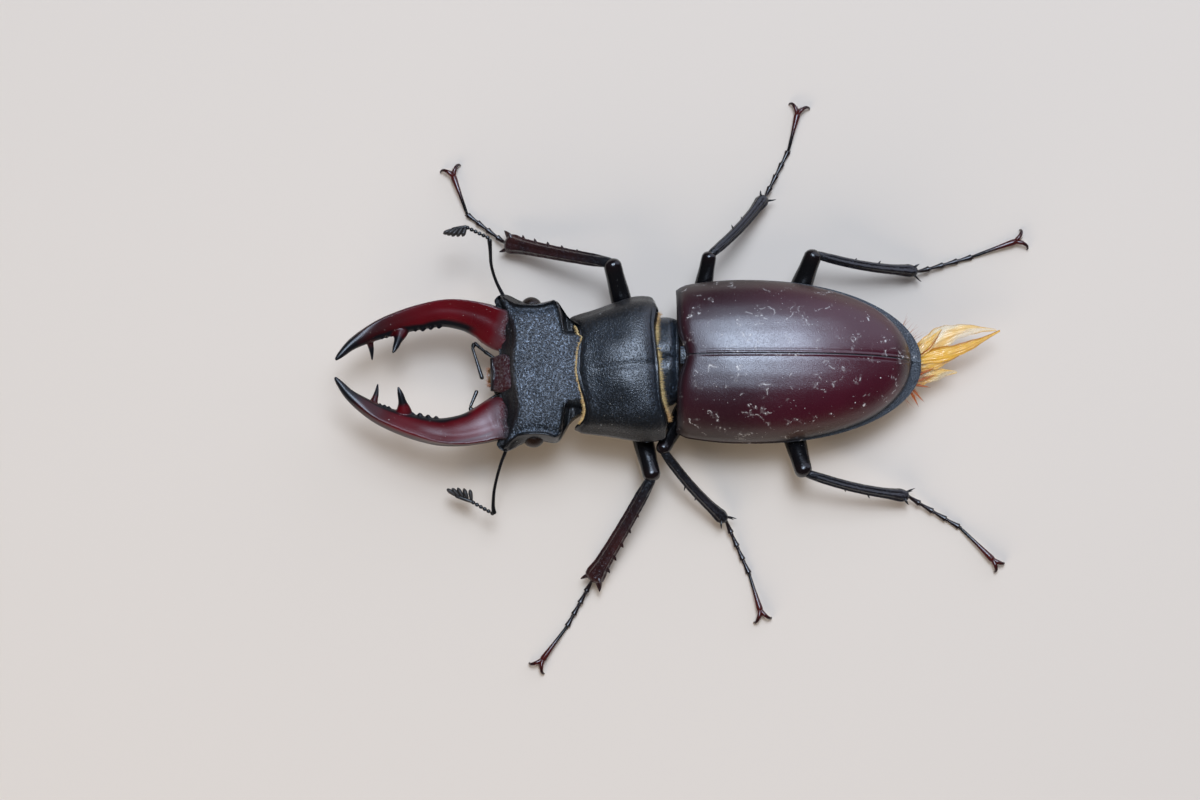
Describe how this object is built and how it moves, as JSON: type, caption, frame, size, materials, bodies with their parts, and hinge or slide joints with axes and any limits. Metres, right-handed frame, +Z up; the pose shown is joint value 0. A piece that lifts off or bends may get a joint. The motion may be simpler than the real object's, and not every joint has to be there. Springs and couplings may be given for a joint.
{
  "type": "stag beetle",
  "caption": "Still, life-size male stag beetle standing on six feet, with large antlered jaws, closed wing cases, spread legs and elbowed feelers.",
  "frame": {"origin": "on the floor under the middle of the whole beetle, legs and jaws included", "axes": "+Z up, head and jaws towards -Y, tail towards +Y, the beetle's left side towards +X"},
  "size_m": [0.0656, 0.078, 0.0117],
  "materials": {
    "armour": "satin black shell, finely grained and pitted",
    "wing_case": "smooth dark maroon brown shell with a soft gloss",
    "jaw": "polished wine red horn, black at its tips",
    "leg": "glossy black shell",
    "shin": "glossy black-brown shell with fine lengthwise ridges",
    "feeler": "satin black-brown",
    "eye": "glossy dark brown with fine facets",
    "soft_joint": "dull brown skin between the plates",
    "hair": "golden bristles",
    "membrane": "thin amber wing skin with darker veins"
  },
  "bodies": {
    "root": {"elytron_left": "wing_case", "elytron_right": "wing_case", "mandible_left": "jaw", "mandible_right": "jaw", "labrum": "jaw", "eye_left": "eye", "eye_right": "eye", "wing_tip_long": "membrane", "wing_tip_short": "membrane", "waist": "armour", "neck": "soft_joint", "lip": "hair", "scutellum": "armour", "abdomen": "armour", "metathorax": "armour", "pronotum": "armour", "prosternum": "armour", "head": "armour", "antenna_left_scape": "feeler", "antenna_left_club": "feeler", "palp_left": "feeler", "antenna_right_scape": "feeler", "antenna_right_club": "feeler", "palp_right": "feeler", "coxa_front_left": "leg", "femur_front_left": "leg", "tibia_front_left": "shin", "tarsus_front_left": "leg", "coxa_front_right": "leg", "femur_front_right": "leg", "tibia_front_right": "shin", "tarsus_front_right": "leg", "coxa_mid_left": "leg", "femur_mid_left": "leg", "tibia_mid_left": "shin", "tarsus_mid_left": "leg", "coxa_mid_right": "leg", "femur_mid_right": "leg", "tibia_mid_right": "shin", "tarsus_mid_right": "leg", "coxa_hind_left": "leg", "femur_hind_left": "leg", "tibia_hind_left": "shin", "tarsus_hind_left": "leg", "coxa_hind_right": "leg", "femur_hind_right": "leg", "tibia_hind_right": "shin", "tarsus_hind_right": "leg"}
  },
  "joints": []
}
